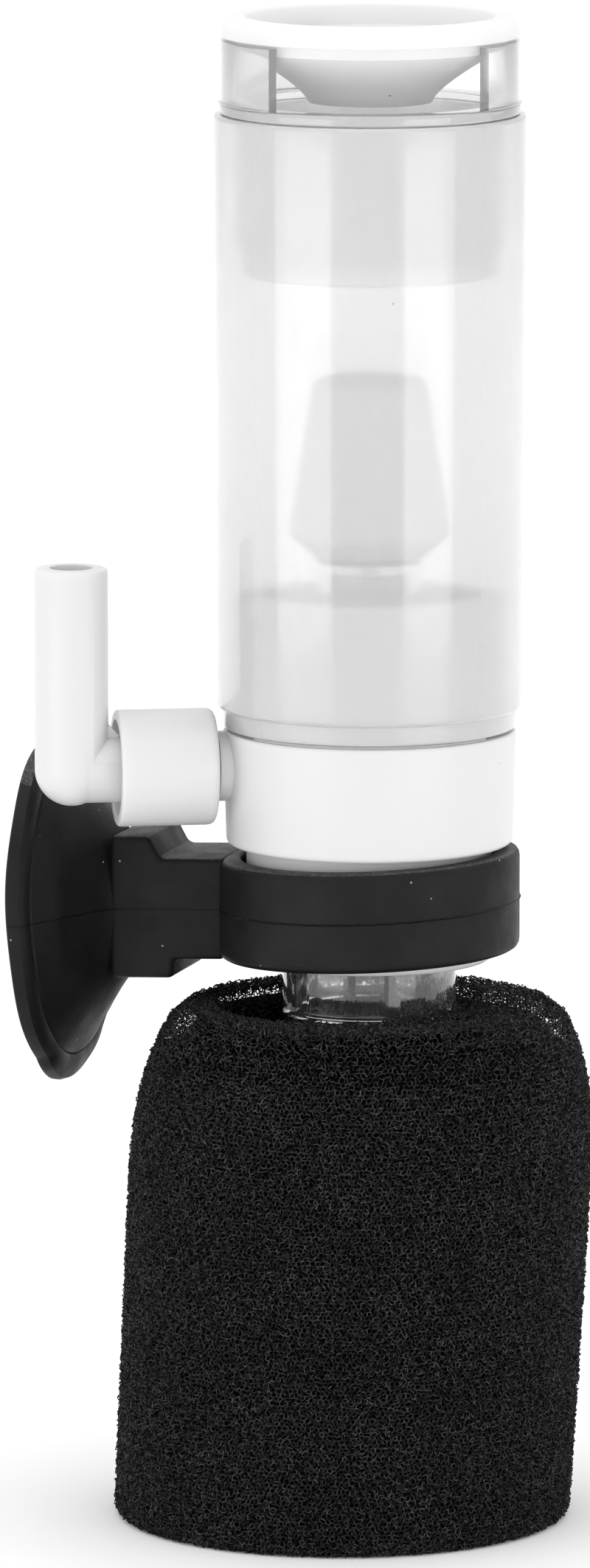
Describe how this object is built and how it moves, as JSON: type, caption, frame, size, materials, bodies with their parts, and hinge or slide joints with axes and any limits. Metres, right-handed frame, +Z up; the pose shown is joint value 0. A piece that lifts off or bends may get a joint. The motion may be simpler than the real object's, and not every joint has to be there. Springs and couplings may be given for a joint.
{
  "type": "sponge filter",
  "caption": "Air-driven internal aquarium filter: a clear bubble-lift tube with an outlet cap over a white base, a foam sponge below, an air elbow and a suction-cup clip.",
  "frame": {"origin": "on the clear tube's vertical axis, at the height of the sponge's flat bottom, which is what the filter stands on", "axes": "+Z up along the tube towards the outlet cap; -X along the clip's arm to the suction cup; the air elbow stands 24 degrees from -X towards -Y"},
  "size_m": [0.0549, 0.0448, 0.1464],
  "materials": {
    "white_plastic": "satin moulded white plastic",
    "frosted_clear": "milky translucent moulded plastic",
    "clear_plastic": "clear glossy moulded plastic",
    "porous_stone": "sintered fine-grained porous stone",
    "black_rubber": "satin black soft rubber",
    "black_foam": "open-cell reticulated foam"
  },
  "bodies": {
    "base": {"base_cup": "white_plastic", "riser": "white_plastic"},
    "tube": {"clear_tube": "frosted_clear"},
    "outlet": {"outlet_cage": "frosted_clear", "deflector_cap": "white_plastic"},
    "stone": {"air_stone": "porous_stone", "stone_stem": "clear_plastic"},
    "coupling": {"inlet_coupling": "white_plastic"},
    "elbow": {"air_elbow": "white_plastic", "elbow_seal_ring": "black_rubber"},
    "clip": {"suction_clip": "black_rubber"},
    "strainer": {"strainer_core": "clear_plastic"},
    "foam": {"sponge": "black_foam"}
  },
  "joints": [
    {"name": "tube_lift", "type": "slide", "parent": "base", "child": "tube", "axis": [0, 0, 1], "range_m": [0, 0.016]},
    {"name": "outlet_turn", "type": "hinge", "parent": "tube", "child": "outlet", "pos_m": [0, 0, 0.137], "axis": [0, 0, 1], "continuous": true},
    {"name": "stone_pull", "type": "slide", "parent": "base", "child": "stone", "axis": [0, 0, 1], "range_m": [0, 0.006]},
    {"name": "coupling_pull", "type": "slide", "parent": "base", "child": "coupling", "axis": [-0.9135, -0.4067, 0], "range_m": [0, 0.005]},
    {"name": "elbow_swivel", "type": "hinge", "parent": "coupling", "child": "elbow", "pos_m": [-0.01827, -0.00813, 0.0739], "axis": [-0.9135, -0.4067, 0], "range_deg": [-90, 45]},
    {"name": "clip_turn", "type": "hinge", "parent": "base", "child": "clip", "pos_m": [0, 0, 0.0603], "axis": [0, 0, 1], "range_deg": [-275, 0]},
    {"name": "strainer_pull", "type": "slide", "parent": "base", "child": "strainer", "axis": [0, 0, -1], "range_m": [0, 0.0095]},
    {"name": "sponge_pull", "type": "slide", "parent": "strainer", "child": "foam", "axis": [0, 0, -1], "range_m": [0, 0.045]}
  ]
}
